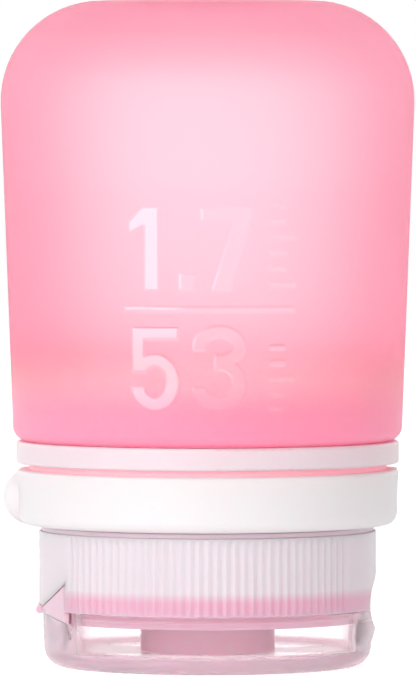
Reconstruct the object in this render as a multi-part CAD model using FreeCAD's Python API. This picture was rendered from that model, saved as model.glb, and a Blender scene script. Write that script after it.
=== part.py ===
import FreeCAD, Part
import math
import os

# Travel silicone bottle, standing on its flip lid as in the photo.
# Millimetres, +Z up, origin on the axis at the lid's outer face.
# -X holds the lid hinge and the loop knob, +X the thumb scoop.

os.makedirs("parts", exist_ok=True)

# Silicone body: its radius drives the radii of all that fits under it
body_end_radius = 21.92
body_taper = 1.72
body_height = 45.75
body_wall = 2.0
body_end_round = 10.4
body_foot_round = 1.5
shoulder_thickness = 2.2
shoulder_round = 4.0
throat_round = 1.4
neck_wall = 1.4
mouth_lip_thickness = 1.3
mouth_lip_clearance = 0.2
flange_thickness = 0.8

# Clamp ring and its pegs
ring_inset = 0.27
ring_height = 2.3
ring_rim = 1.33
ring_edge_round = 0.3
ring_recess = 0.3
peg_count = 6
peg_radius = 0.8
peg_length = 3.0
peg_fit = 0.05
peg_hole_extra = 0.3

# Carrying loop: fixed rear half on the collar, swinging front half
loop_inset = 0.03
loop_taper = 0.28
loop_wall = 2.0
loop_gap = 0.8
loop_clearance = 0.15
loop_top_round = 0.4
loop_foot_round = 1.15
loop_split = 3.0
loop_split_gap = 0.2
knob_swell = 0.095
knob_inset = 0.4
pin_radius = 0.6
pin_clearance = 0.04
knuckle_wall = 0.55
knuckle_sweep = 1.7
knuckle_gap = 0.1
stud_radius = 0.7
stud_length = 1.8
stud_clearance = 0.2

# Threaded collar
neck_fit = 0.1
sleeve_wall = 1.3
boss_step = 0.2
boss_height = 0.45
drum_height = 6.05
thread_pitch = 3.0
thread_depth = 0.7
thread_clearance = 0.3
thread_root_width = 1.6
thread_crest_width = 1.0
thread_sink = 0.2
thread_lead = 1.15
thread_end_gap = 0.7
cap_thread_end_gap = 1.6
thread_start_angle = 40.0

# Screw cap with the flip-top deck
cap_overhang = 0.25
cap_gap = 0.25
cap_skirt_height = 7.85
cap_wall = 1.35
cap_edge_round = 0.35
ledge_thickness = 0.95
deck_clearance = 0.4
deck_thickness = 1.35
snap_bead = 0.15
snap_bead_height = 0.5
seat_step = 1.2
seam_gap = 0.1

# Flip lid
lid_height = 5.95
lid_inset = 0.35
lid_taper = 0.25
lid_wall = 1.0
lid_plate = 1.35
lid_edge_round = 2.1
lid_inner_round = 0.9
lip_reach = 0.35
lip_height = 2.6
lip_drop = 2.25
lip_half_angle = 26.0
lid_boss_step = 1.0
lid_boss_height = 0.7
plug_gap = 0.5
plug_wall = 0.7
plug_height = 3.0

# Thumb scoop across cap and lid
scoop_radius = 6.5
scoop_depth = 0.65
scoop_rise = 0.55

# Butterfly hinge
hinge_inset = 0.13
spine_radius = 0.42
spine_length = 6.0
hinge_gap = 0.12
web_thickness = 0.5
web_inset = 0.05
web_width_share = 0.5242
web_side_gap = 0.3
web_apex_gap = 0.35
web_rise_angle = 47.0
web_fall_angle = 20.0
window_depth = 1.85
lid_slot_width = 0.9
lid_slot_depth = 2.9
lid_slot_run = 2.6

# Spout, valve and its retainer
spout_radius = 5.8
spout_wall = 1.2
spout_gap = 0.3
outlet_step = 1.4
outlet_lip = 0.8
valve_flange = 0.7
valve_wall = 0.55
valve_drop = 0.45
valve_clearance = 0.1
slit_share = 0.68
slit_width = 0.06
retainer_height = 1.5
retainer_wall = 1.2
retainer_fit = 0.04
retainer_chamfer = 0.4

# Gasket between the deck and the silicone mouth
seal_thickness = 0.8
seal_bore_step = 0.2
seal_clearance = 0.2

# Levels from the floor up
rim_z = lid_height + seam_gap
seal_top_z = rim_z + seal_thickness
sleeve_end_z = seal_top_z + mouth_lip_thickness
cap_top_z = rim_z + cap_skirt_height
boss_z = cap_top_z + cap_gap
drum_z = boss_z + boss_height
drum_top_z = drum_z + drum_height
flange_top_z = drum_top_z + flange_thickness
ring_z = flange_top_z - ring_recess
shoulder_z = ring_z + ring_height
end_z = shoulder_z + body_height
loop_z = drum_z + loop_clearance
loop_top_z = drum_top_z - loop_clearance
loop_middle_z = (loop_z + loop_top_z) / 2
knuckle_radius = pin_radius + knuckle_wall
pin_foot_z = loop_z + knuckle_radius
hinge_z = lid_height + seam_gap / 2
spout_end_z = lid_plate + lid_boss_height + spout_gap
lip_level = lid_height - lip_drop
scoop_level = rim_z + scoop_rise
thread_start = sleeve_end_z + thread_lead
cap_thread_start = thread_start - thread_pitch / 2
thread_turns = (cap_top_z - thread_end_gap - thread_start) / thread_pitch
cap_thread_turns = (cap_top_z - cap_thread_end_gap - cap_thread_start) / thread_pitch

# Radii from the silicone body inwards, each from its neighbour and a clearance
body_foot_radius = body_end_radius - body_taper
ring_radius = body_foot_radius - ring_inset
flange_radius = ring_radius - ring_rim
loop_radius = ring_radius - loop_inset
loop_foot_radius = loop_radius - loop_taper
loop_inner_radius = loop_radius - loop_wall
drum_radius = loop_inner_radius - loop_gap
boss_radius = drum_radius + boss_step
cap_radius = boss_radius + cap_overhang
skirt_bore = cap_radius - cap_wall
sleeve_radius = skirt_bore - thread_clearance - thread_depth
sleeve_bore = sleeve_radius - sleeve_wall
neck_radius = sleeve_bore - neck_fit
neck_bore = neck_radius - neck_wall
seat_pocket_radius = skirt_bore - seat_step
mouth_lip_radius = seat_pocket_radius - mouth_lip_clearance
seal_bore = neck_bore + seal_bore_step
peg_circle = (sleeve_bore + drum_radius) / 2
lid_radius = cap_radius - lid_inset
lid_foot_radius = lid_radius - lid_taper
deck_radius = lid_radius - lid_wall - deck_clearance
hinge_reach = cap_radius - hinge_inset
web_half_width = cap_radius * web_width_share
spout_bore = spout_radius - spout_wall
outlet_radius = spout_bore - outlet_step
lid_boss_radius = outlet_radius - lid_boss_step
slit_length = 2 * slit_share * (outlet_radius - valve_clearance - valve_wall)
knob_radius = (loop_top_z - loop_z) / 2 + knob_swell
knob_reach = loop_inner_radius + knob_inset
pin_reach = (loop_inner_radius + loop_radius) / 2
pin_x = math.sqrt(pin_reach ** 2 - loop_split ** 2)

point_tolerance = 1e-6

ORIGIN = FreeCAD.Vector(0, 0, 0)
UP = FreeCAD.Vector(0, 0, 1)
ALONG_Y = FreeCAD.Vector(0, 1, 0)


def outline(corners):
    """Closed XZ wire through (x, z, round) corners, each round as a tangent arc."""
    points = [FreeCAD.Vector(x, 0, z) for x, z, bend in corners]
    joints = []
    for i, (x, z, bend) in enumerate(corners):
        here = points[i]
        if bend == 0:
            joints.append((here, None, here))
            continue
        back = (points[i - 1] - here).normalize()
        ahead = (points[(i + 1) % len(points)] - here).normalize()
        half = back.getAngle(ahead) / 2
        reach = bend / math.tan(half)
        inward = (back + ahead).normalize()
        middle = here + inward * (bend / math.sin(half) - bend)
        joints.append((here + back * reach, middle, here + ahead * reach))
    edges = []
    for i, (enter, middle, leave) in enumerate(joints):
        if middle is not None:
            edges.append(Part.Arc(enter, middle, leave).toShape())
        following = joints[(i + 1) % len(joints)][0]
        if not leave.isEqual(following, point_tolerance):
            edges.append(Part.makeLine(leave, following))
    return Part.Wire(edges)


def turned(corners):
    """Solid of revolution about Z from an outline."""
    return Part.Face(outline(corners)).revolve(ORIGIN, UP, 360)


def prism(points, y_from, y_to):
    """Straight prism along Y over XZ points."""
    face = Part.Face(outline([(x, z, 0) for x, z in points]))
    face.translate(FreeCAD.Vector(0, y_from, 0))
    return face.extrude(FreeCAD.Vector(0, y_to - y_from, 0))


def disc(radius, z_from, z_to, x=0, y=0):
    """Upright cylinder between two levels."""
    return Part.makeCylinder(radius, z_to - z_from, FreeCAD.Vector(x, y, z_from), UP)


def tube(outer, inner, z_from, z_to):
    """Upright pipe between two levels."""
    return disc(outer, z_from, z_to).cut(disc(inner, z_from, z_to))


def half_space(y_from, y_to, z_from, z_to):
    """Box across the whole bottle between two Y and two Z levels."""
    span = 2 * body_end_radius
    corner = FreeCAD.Vector(-span, y_from, z_from)
    return Part.makeBox(2 * span, y_to - y_from, z_to - z_from, corner)


def thread(root, crest, start, turns):
    """Right-hand trapezoid thread rib; its flanks run on into the wall it stands on."""
    helix = Part.makeHelix(thread_pitch, thread_pitch * turns, root)
    helix.translate(FreeCAD.Vector(0, 0, start))
    buried = root - math.copysign(thread_sink, crest - root)
    flank = (thread_root_width - thread_crest_width) / (2 * thread_depth)
    crest_half = thread_crest_width / 2
    foot_half = crest_half + flank * (thread_depth + thread_sink)
    section = outline([
        (buried, start - foot_half, 0),
        (crest, start - crest_half, 0),
        (crest, start + crest_half, 0),
        (buried, start + foot_half, 0),
    ])
    rib = Part.Wire(helix.Edges).makePipeShell([section], True, True)
    if rib.Volume < 0:
        rib.reverse()
    rib.rotate(ORIGIN, UP, thread_start_angle)
    return rib


def thumb_scoop():
    """Horizontal round cutter at +X that hollows cap and lid for the thumb."""
    centre_x = cap_radius - scoop_depth + scoop_radius
    start = FreeCAD.Vector(centre_x, -cap_radius, scoop_level)
    return Part.makeCylinder(scoop_radius, 2 * cap_radius, start, ALONG_Y)


def hinge_rod(radius, length):
    """Round rod on the lid hinge axis."""
    start = FreeCAD.Vector(-hinge_reach, -length / 2, hinge_z)
    return Part.makeCylinder(radius, length, start, ALONG_Y)


def hinge_sector(half_width, shift):
    """Wedge along Y, opening inwards from the hinge axis or from a little outside it."""
    tip = -hinge_reach - shift
    run = hinge_reach + shift - cap_radius / 2
    up = run * math.tan(math.radians(web_rise_angle))
    down = run * math.tan(math.radians(web_fall_angle))
    points = [(tip, hinge_z), (tip + run, hinge_z - down), (tip + run, hinge_z + up)]
    return prism(points, -half_width, half_width)


def hinge_window():
    """Room in the cap and lid walls for the folding web."""
    depth = tube(2 * cap_radius, cap_radius - window_depth, 0, cap_top_z)
    half_width = web_half_width + web_side_gap
    wedge = hinge_sector(half_width, web_apex_gap)
    groove = hinge_rod(spine_radius + hinge_gap, spine_length + 2 * hinge_gap)
    return wedge.common(depth).fuse(groove)


def build_hinge_web():
    """Two curved triangular wings joined by a round spine on the axis."""
    outer = cap_radius - web_inset
    wall = tube(outer, outer - web_thickness, 0, cap_top_z)
    wedge = hinge_sector(web_half_width, 0)
    inner_side = half_space(-web_half_width, web_half_width, 0, cap_top_z)
    inner_side.translate(FreeCAD.Vector(-2 * body_end_radius, 0, 0))
    wings = wall.common(wedge).common(inner_side)
    return wings.fuse(hinge_rod(spine_radius, spine_length))


def build_lid():
    """Flip lid: cup with a thumb lip, a sealing ring round the spout and a valve boss."""
    inner = lid_radius - lid_wall
    inner_foot = lid_foot_radius - lid_wall
    lid = turned([
        (0, 0, 0),
        (lid_foot_radius, 0, lid_edge_round),
        (lid_radius, lid_height, 0),
        (inner, lid_height, 0),
        (inner_foot, lid_plate, lid_inner_round),
        (0, lid_plate, 0),
    ])
    lip_half = lip_height / 2
    lip = turned([
        (lid_radius - lid_wall / 2, lip_level - lip_half, 0),
        (lid_radius, lip_level - lip_half, 0),
        (lid_radius + lip_reach, lip_level, 0),
        (lid_radius + lip_reach, lip_level + lip_half, 0),
        (lid_radius - lid_wall / 2, lip_level + lip_half, 0),
    ])
    lip_half_width = lid_radius * math.sin(math.radians(lip_half_angle))
    lip_room = half_space(-lip_half_width, lip_half_width, 0, lid_height)
    lip_room.translate(FreeCAD.Vector(2 * body_end_radius, 0, 0))
    lid = lid.fuse(lip.common(lip_room))
    ring_inner = spout_radius + plug_gap
    sink = lid_plate / 2
    ring = tube(ring_inner + plug_wall, ring_inner, sink, lid_plate + plug_height)
    boss = disc(lid_boss_radius, sink, lid_plate + lid_boss_height)
    lid = lid.fuse([ring, boss]).cut([thumb_scoop(), hinge_window()])
    slot_x = -math.sqrt(cap_radius ** 2 - web_half_width ** 2)
    slot_top = lid_height + seam_gap
    for side in (-1, 1):
        near = side * (web_half_width - lid_slot_run)
        far = side * (web_half_width + lid_wall)
        slot = prism([
            (slot_x, slot_top),
            (slot_x + lid_slot_width, slot_top),
            (slot_x + lid_slot_width, lid_height - lid_slot_depth),
        ], min(near, far), max(near, far))
        lid = lid.cut(slot)
    return lid


def build_cap():
    """Cap: threaded skirt, ledge, raised deck and the spout that holds the valve."""
    under_deck = rim_z - deck_thickness
    bead_z = (rim_z + under_deck) / 2
    cap = turned([
        (outlet_radius, spout_end_z, 0),
        (spout_radius, spout_end_z, 0),
        (spout_radius, under_deck, 0),
        (deck_radius, under_deck, 0),
        (deck_radius, bead_z - snap_bead_height / 2, 0),
        (deck_radius + snap_bead, bead_z, 0),
        (deck_radius, bead_z + snap_bead_height / 2, 0),
        (deck_radius, rim_z, 0),
        (cap_radius, rim_z, 0),
        (cap_radius, cap_top_z, cap_edge_round),
        (skirt_bore, cap_top_z, 0),
        (skirt_bore, rim_z + ledge_thickness, 0),
        (seat_pocket_radius, rim_z + ledge_thickness, 0),
        (seat_pocket_radius, rim_z, 0),
        (spout_bore, rim_z, 0),
        (spout_bore, spout_end_z + outlet_lip, 0),
        (outlet_radius, spout_end_z + outlet_lip, 0),
    ])
    crest = skirt_bore - thread_depth
    rib = thread(skirt_bore, crest, cap_thread_start, cap_thread_turns)
    cap = cap.fuse(rib)
    return cap.cut([thumb_scoop(), hinge_window()])


def build_valve():
    """Silicone no-drip valve: flange, short wall and a slit membrane in the outlet."""
    seat = spout_end_z + outlet_lip
    outer = spout_bore - valve_clearance
    neck = outlet_radius - valve_clearance
    low = seat - outlet_lip + valve_clearance
    inner = neck - valve_wall
    valve = turned([
        (0, low + valve_drop, 0),
        (inner - valve_wall, low, valve_wall),
        (neck, low, 0),
        (neck, seat, 0),
        (outer, seat, 0),
        (outer, seat + valve_flange, 0),
        (inner, seat + valve_flange, 0),
        (inner, low + valve_wall, 0),
        (inner - valve_wall, low + valve_wall, valve_wall),
        (0, low + valve_drop + valve_wall, 0),
    ])
    for length, width in ((slit_length, slit_width), (slit_width, slit_length)):
        corner = FreeCAD.Vector(-length / 2, -width / 2, low)
        valve = valve.cut(Part.makeBox(length, width, valve_drop + 2 * valve_wall, corner))
    return valve


def build_valve_retainer():
    """Pressed ring that keeps the valve flange on its seat."""
    foot = spout_end_z + outlet_lip + valve_flange
    outer = spout_bore - retainer_fit
    inner = outer - retainer_wall
    return turned([
        (inner, foot, 0),
        (outer, foot, 0),
        (outer, foot + retainer_height, 0),
        (inner + retainer_chamfer, foot + retainer_height, 0),
        (inner, foot + retainer_height - retainer_chamfer, 0),
    ])


def build_seal():
    """Flat gasket that the mouth lip presses on the deck."""
    return tube(seat_pocket_radius - seal_clearance, seal_bore, rim_z, seal_top_z)


def peg_positions():
    """XY places of the clamp pegs."""
    steps = [2 * math.pi * i / peg_count for i in range(peg_count)]
    return [(peg_circle * math.cos(a), peg_circle * math.sin(a)) for a in steps]


def build_body():
    """Hollow silicone body with its neck, clamp flange and mouth lip."""
    inner_end = body_end_radius - body_wall
    inner_foot = body_foot_radius - body_wall
    inner_round = body_end_round - body_wall
    body = turned([
        (0, end_z, 0),
        (0, end_z - body_wall, 0),
        (inner_end, end_z - body_wall, inner_round),
        (inner_foot, shoulder_z + shoulder_thickness, shoulder_round),
        (neck_bore, shoulder_z + shoulder_thickness, throat_round),
        (neck_bore, seal_top_z, 0),
        (mouth_lip_radius, seal_top_z, 0),
        (mouth_lip_radius, sleeve_end_z, 0),
        (neck_radius, sleeve_end_z, 0),
        (neck_radius, drum_top_z, 0),
        (flange_radius, drum_top_z, 0),
        (flange_radius, flange_top_z, 0),
        (neck_radius, flange_top_z, 0),
        (neck_radius, shoulder_z, 0),
        (body_foot_radius, shoulder_z, body_foot_round),
        (body_end_radius, end_z, body_end_round),
    ])
    for x, y in peg_positions():
        body = body.cut(disc(peg_radius + peg_fit, drum_top_z, flange_top_z, x, y))
    return body


def build_ring():
    """Clamp ring under the shoulder, with pegs through the silicone flange."""
    ring = turned([
        (sleeve_bore, flange_top_z, 0),
        (flange_radius + peg_fit, flange_top_z, 0),
        (flange_radius + peg_fit, ring_z, 0),
        (ring_radius, ring_z, ring_edge_round),
        (ring_radius, shoulder_z, ring_edge_round),
        (sleeve_bore, shoulder_z, 0),
    ])
    low = drum_top_z - peg_length
    pegs = [disc(peg_radius, low, flange_top_z + ring_recess, x, y) for x, y in peg_positions()]
    return ring.fuse(pegs)


def loop_ring(inner):
    """Full band of the carrying loop before it is split."""
    return turned([
        (inner, loop_z, 0),
        (loop_foot_radius, loop_z, loop_foot_round),
        (loop_radius, loop_top_z, loop_top_round),
        (inner, loop_top_z, 0),
    ])


def knuckle_levels():
    """Lower and upper level of the swinging knuckle between the two ears."""
    third = (loop_top_z - loop_z) / 3
    return loop_z + third, loop_top_z - third


def latch_rod(radius, length):
    """Round rod along -Y from the rear half's end face into the knob."""
    start = FreeCAD.Vector(-knob_reach, loop_split + loop_split_gap / 2, loop_middle_z)
    return Part.makeCylinder(radius, length, start, ALONG_Y * -1)


def build_collar():
    """Collar: threaded sleeve, drum, rear half of the loop, hinge ears and latch stud."""
    collar = turned([
        (sleeve_bore, sleeve_end_z, 0),
        (sleeve_radius, sleeve_end_z, 0),
        (sleeve_radius, boss_z, 0),
        (boss_radius, boss_z, 0),
        (boss_radius, drum_z, 0),
        (drum_radius, drum_z, 0),
        (drum_radius, drum_top_z, 0),
        (sleeve_bore, drum_top_z, 0),
    ])
    low, high = knuckle_levels()
    rear = half_space(loop_split + loop_split_gap / 2, body_end_radius, 0, end_z)
    sweep = disc(knuckle_sweep, low - knuckle_gap, high + knuckle_gap, pin_x, loop_split)
    band = loop_ring(drum_radius - loop_clearance).common(rear)
    ears = disc(knuckle_radius, pin_foot_z, loop_top_z, pin_x, loop_split)
    ear_foot = Part.makeSphere(knuckle_radius, FreeCAD.Vector(pin_x, loop_split, pin_foot_z))
    band = band.fuse([ears, ear_foot]).cut(sweep)
    stud = latch_rod(stud_radius, stud_length)
    rib = thread(sleeve_radius, sleeve_radius + thread_depth, thread_start, thread_turns)
    collar = collar.fuse([band, stud, rib])
    bore = disc(pin_radius + pin_clearance, pin_foot_z, loop_top_z, pin_x, loop_split)
    depth = drum_top_z - peg_length - peg_hole_extra
    holes = [disc(peg_radius + peg_fit, depth, drum_top_z, x, y) for x, y in peg_positions()]
    return collar.cut([bore] + holes)


def build_loop():
    """Swinging front half of the loop with its knuckle, knob and latch socket."""
    low, high = knuckle_levels()
    front = half_space(-body_end_radius, loop_split - loop_split_gap / 2, 0, end_z)
    band = loop_ring(loop_inner_radius).common(front)
    knob = Part.makeSphere(knob_radius, FreeCAD.Vector(-knob_reach, 0, loop_middle_z))
    knob = knob.common(half_space(-knob_radius, knob_radius, loop_z, loop_top_z))
    knob = knob.cut(disc(loop_inner_radius, 0, end_z))
    knob = knob.common(front)
    below = disc(knuckle_sweep, loop_z, low, pin_x, loop_split)
    above = disc(knuckle_sweep, high, loop_top_z, pin_x, loop_split)
    knuckle = disc(knuckle_radius, low, high, pin_x, loop_split)
    bore = disc(pin_radius + 2 * pin_clearance, loop_z, loop_top_z, pin_x, loop_split)
    socket = latch_rod(stud_radius + stud_clearance, stud_length + stud_clearance)
    loop = band.cut([below, above]).fuse([knob, knuckle])
    return loop.cut([bore, socket])


def build_pin():
    """Upright pin of the loop hinge, which ends on the lower ear's rounded foot."""
    return disc(pin_radius, pin_foot_z, loop_top_z, pin_x, loop_split)


pieces = {
    "bottle_body": build_body(),
    "clamp_ring": build_ring(),
    "threaded_collar": build_collar(),
    "loop_gate": build_loop(),
    "loop_pin": build_pin(),
    "cap_seal": build_seal(),
    "screw_cap": build_cap(),
    "slit_valve": build_valve(),
    "valve_retainer": build_valve_retainer(),
    "hinge_web": build_hinge_web(),
    "flip_lid": build_lid(),
}
for name, shape in pieces.items():
    shape.exportStep("parts/" + name + ".step")
    print(name, shape.ShapeType, len(shape.Solids), shape.isValid(), round(shape.Volume, 1))
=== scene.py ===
"""Looks of a travel silicone bottle that stands on its flip lid.

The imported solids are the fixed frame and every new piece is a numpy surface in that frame, in metres:
origin on the bottle's axis at the lid's outer face, +Z up to the closed end, -X at the lid hinge and the
loop's knob, +X at the thumb scoop, and the camera on the -Y side.
"""

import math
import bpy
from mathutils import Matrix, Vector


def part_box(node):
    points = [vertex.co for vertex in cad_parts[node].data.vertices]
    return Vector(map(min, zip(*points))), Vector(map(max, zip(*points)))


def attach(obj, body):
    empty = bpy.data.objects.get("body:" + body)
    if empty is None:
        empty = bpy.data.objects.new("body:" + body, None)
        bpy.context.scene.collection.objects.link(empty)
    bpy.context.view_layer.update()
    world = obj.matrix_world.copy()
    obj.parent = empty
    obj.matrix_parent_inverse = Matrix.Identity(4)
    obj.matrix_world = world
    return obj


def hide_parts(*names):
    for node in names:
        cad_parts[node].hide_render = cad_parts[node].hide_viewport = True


bl_info = {
    "name": "Travel silicone bottle",
    "version": (1, 0, 0),
    "blender": (4, 5, 0),
    "location": "View3D > Sidebar > Bottle",
    "description": "Builds the visible pieces, finishes and studio of a travel silicone bottle",
    "category": "Object",
}

import bmesh
import bpy
import numpy as np

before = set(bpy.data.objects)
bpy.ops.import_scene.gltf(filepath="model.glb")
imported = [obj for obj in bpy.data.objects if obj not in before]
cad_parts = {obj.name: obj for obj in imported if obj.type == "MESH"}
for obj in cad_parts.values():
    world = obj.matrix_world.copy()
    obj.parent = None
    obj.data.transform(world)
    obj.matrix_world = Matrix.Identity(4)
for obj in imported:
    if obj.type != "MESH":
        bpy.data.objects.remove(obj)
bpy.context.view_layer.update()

MM = 0.001
FULL_TURN = 2 * math.pi
# Edges are sharp from the crease angle on; points within the merge length are one, edges under the sliver
# length are none, and a divisor is never under the tiny value
CREASE = math.radians(32)
MERGE = 1e-7
SLIVER = 1e-8
TINY = 1e-9
PLASTIC_IOR = 1.49
SILICONE_IOR = 1.41


def length(name, millimetres, about):
    """A length that the user may change, given here in millimetres."""
    return bpy.props.FloatProperty(
        name=name, description=about, default=millimetres * MM, unit="LENGTH", precision=5
    )


def angle(name, degrees, about):
    """An angle that the user may change, given here in degrees."""
    return bpy.props.FloatProperty(
        name=name, description=about, default=math.radians(degrees), subtype="ANGLE", unit="ROTATION"
    )


def colour(name, rgb, about):
    """A finish colour that the user may change, as linear red, green and blue."""
    return bpy.props.FloatVectorProperty(
        name=name, description=about, default=rgb, size=3, min=0, max=1, subtype="COLOR"
    )


def share(name, value, about, high=1.0):
    """A plain number between nothing and its highest value."""
    return bpy.props.FloatProperty(name=name, description=about, default=value, min=0, max=high)


def level_of(node, end):
    """Lowest (0) or highest (1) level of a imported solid, in millimetres."""
    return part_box(node)[end].z / MM


# Sizes and finishes that a user would change


class BodySizes(bpy.types.PropertyGroup):
    """Sizes of the silicone body and its raised capacity numbers"""

    end_level: length("Closed end", level_of("bottle_body", 1), "Level of the closed end")
    end_radius: length("End radius", 21.92, "Radius of the side wall carried on to the closed end")
    foot_radius: length("Foot radius", 20.2, "Radius of the side wall carried on to the shoulder")
    wall: length("Wall", 2.0, "Thickness of the silicone wall")
    end_round: length("End round", 10.4, "Round between the side and the closed end")
    foot_round: length("Foot round", 1.5, "Round between the side and the shoulder")
    shoulder_level: length("Shoulder", level_of("clamp_ring", 1), "Level of the shoulder's underside")
    shoulder: length("Shoulder thickness", 2.2, "Thickness of the shoulder")
    shoulder_round: length("Shoulder round", 4.0, "Round inside the shoulder")
    throat_round: length("Throat round", 1.4, "Round where the neck opens into the body")
    neck_radius: length("Neck radius", 13.8, "Outer radius of the silicone neck")
    neck_bore: length("Neck bore", 12.4, "Inner radius of the silicone neck")
    flange_radius: length("Flange radius", 18.6, "Radius of the flange that the clamp ring holds")
    flange_level: length("Flange", level_of("threaded_collar", 1), "Level of the flange's underside")
    flange: length("Flange thickness", 0.8, "Thickness of the flange")
    trim_radius: length("Trim radius", 19.3, "Outer radius of the flange's trim")
    trim_end: length("Trim end", level_of("clamp_ring", 0), "Level of the ends of the clamp ring's pegs")
    trim_shelf: length("Trim shelf", level_of("loop_gate", 1), "Level of the loop's top")
    trim_inside: length("Trim inside", 17.3, "Radius of the collar's drum, which the trim hangs round")
    lip_radius: length("Lip radius", 14.8, "Radius of the mouth lip")
    lip: length("Lip thickness", 1.3, "Thickness of the mouth lip")
    mouth_level: length("Mouth", level_of("bottle_body", 0), "Level of the mouth")
    touch: length("Touch gap", 0.03, "Gap left between the silicone and the plastic it lies on")
    mark_lift: length("Number height", 0.09, "How far the capacity numbers stand out of the wall")
    mark_edge: length("Number edge", 0.16, "Width of the slope round each number")
    mark_step: length("Number mesh", 0.14, "Mesh width at the numbers")
    mesh_step: length("Body mesh", 1.3, "Mesh width elsewhere on the body")
    mark_high: length("Numbers top", 48.6, "Level up to which the wall has the numbers' mesh")
    mark_low: length("Numbers foot", 26.8, "Level down to which the wall has the numbers' mesh")
    mark_half: length("Numbers half width", 9.6, "How far to each side the wall has the numbers' mesh")
    # Below this level the outer wall takes painted shade: deeper pink toward the foot, where less light
    # reaches it
    milk_level: length("Pink level", 34.5, "Level below which the wall turns deeper pink")
    # Below the milky level, and inside below the inner floor level, the silicone also takes the painted glow
    veil_level: length("Milky level", 34.0, "Level below which the wall turns milky")
    milk_run: length("Milky run", 8.5, "Height over which both come to the full")
    floor_level: length("Inner floor", 28.0, "Level below which the inside turns milky")
    floor_run: length("Inner floor run", 2.0, "Height over which that comes to the full")
    neck_milk: share("Neck pink", 0.35, "How much of the deeper pink the neck, lip and trim have")
    inner_milk: share("Inner pink", 0.1, "How much of the deeper pink the inside has")


class CapSizes(bpy.types.PropertyGroup):
    """Sizes of the screw cap, its spout, its ribs and the thumb scoop"""

    radius: length("Cap radius", 17.55, "Outer radius of the skirt")
    rim_level: length("Rim", 6.05, "Level of the rim that the lid closes on")
    top_level: length("Skirt top", level_of("screw_cap", 1) + 0.23, "Level of the skirt's open edge")
    bore: length("Skirt bore", 16.2, "Inner radius of the skirt")
    edge_round: length("Edge round", 0.15, "Round on the skirt's open edge")
    rim_round: length("Rim round", 0.12, "Round on the cap's rim")
    ledge: length("Ledge", 0.95, "Thickness of the ledge inside the skirt")
    pocket: length("Seal pocket", 15.0, "Radius of the pocket that the seal lies in")
    deck_radius: length("Deck radius", 15.8, "Radius of the raised deck inside the lid")
    deck: length("Deck thickness", 1.35, "How far the deck stands into the lid")
    bead: length("Snap bead", 0.15, "How far the snap bead stands out of the deck")
    bead_height: length("Bead height", 0.5, "Height of the snap bead")
    spout_radius: length("Spout radius", 5.8, "Outer radius of the spout")
    spout_bore: length("Spout bore", 4.6, "Inner radius of the spout")
    spout_level: length("Spout end", level_of("screw_cap", 0), "Level of the spout's end")
    outlet: length("Outlet radius", 3.2, "Radius of the outlet")
    outlet_lip: length("Outlet lip", 0.8, "Thickness of the lip that the valve sits on")
    rib_count: bpy.props.IntProperty(
        name="Ribs", description="Grip ribs round a full turn", default=118, min=3
    )
    rib_depth: length("Rib depth", 0.16, "Depth of the grooves between the grip ribs")
    rib_reach: length("Rib reach", 14.6, "How far to each side the ribs run, short of hinge and scoop")
    rib_low: length("Rib foot run", 0.3, "Height over which the grooves deepen above the rim")
    rib_high: length("Rib top run", 0.6, "Height over which the grooves run out below the open edge")
    scoop_radius: length("Scoop radius", 6.5, "Radius of the thumb scoop")
    scoop_depth: length("Scoop depth", 0.65, "Depth of the thumb scoop in the cap")
    scoop_level: length("Scoop level", 6.6, "Level of the scoop's middle")
    thread_depth: length("Thread depth", 0.7, "Height of the thread rib inside the skirt")
    thread_pitch: length("Thread pitch", 3.0, "Rise of the thread in one turn")
    thread_start: length("Thread start", 7.8, "Level where the thread begins")
    thread_rise: length("Thread rise", 4.5, "Height that the thread climbs")
    thread_angle: angle("Thread angle", 130.0, "Turn of the thread's start from the camera's side")
    thread_root: length("Thread root", 1.6, "Width of the thread rib at the wall")
    thread_crest: length("Thread crest", 1.0, "Width of the thread rib at its crest")
    thread_sink: length("Thread sink", 0.02, "How far the thread rib is sunk into the wall")
    thread_end: length("Thread end", 0.05, "Height that the thread rib has at its two ends")
    thread_fade: angle("Thread fade", 25.0, "Turn over which the thread rib grows at each end")
    rib_step: length("Rib mesh", 0.35, "Mesh height on the ribs")
    mesh_step: length("Cap mesh", 4.0, "Mesh width elsewhere on the cap")


class HingeSizes(bpy.types.PropertyGroup):
    """Sizes of the room that the folding hinge has in the cap and the lid"""

    reach: length("Hinge reach", 17.42, "From the bottle's axis to the hinge axis")
    level: length("Hinge level", 6.0, "Level of the hinge axis")
    half_width: length("Window half width", 9.5, "Half the width of the hinge window")
    apex_gap: length("Apex gap", 0.12, "How far outside the hinge axis the window's edges meet")
    inner_radius: length("Window depth radius", 15.7, "Radius that the window reaches in to")
    rise: angle("Window rise", 47.0, "Slope of the window's upper edge")
    fall: angle("Window fall", 20.0, "Slope of the window's lower edge")
    groove_radius: length("Groove radius", 0.54, "Radius of the groove for the hinge spine")
    groove_half: length("Groove half length", 3.12, "Half the length of that groove")
    slot_side: length("Slot side", 8.4, "Sideways place of the two notches in the lid")
    slot_half: length("Slot half", 1.8, "Half the run of a notch through the lid's wall")
    slot_reach: length("Slot reach", 14.95, "From the axis to the notch's outer corner, along X")
    slot_width: length("Slot width", 0.9, "Width of a notch at its top")
    slot_depth: length("Slot depth", 2.9, "Depth of a notch")
    slot_over: length("Slot overrun", 0.1, "How far the notches' cutters stand out of the lid's rim")


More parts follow.
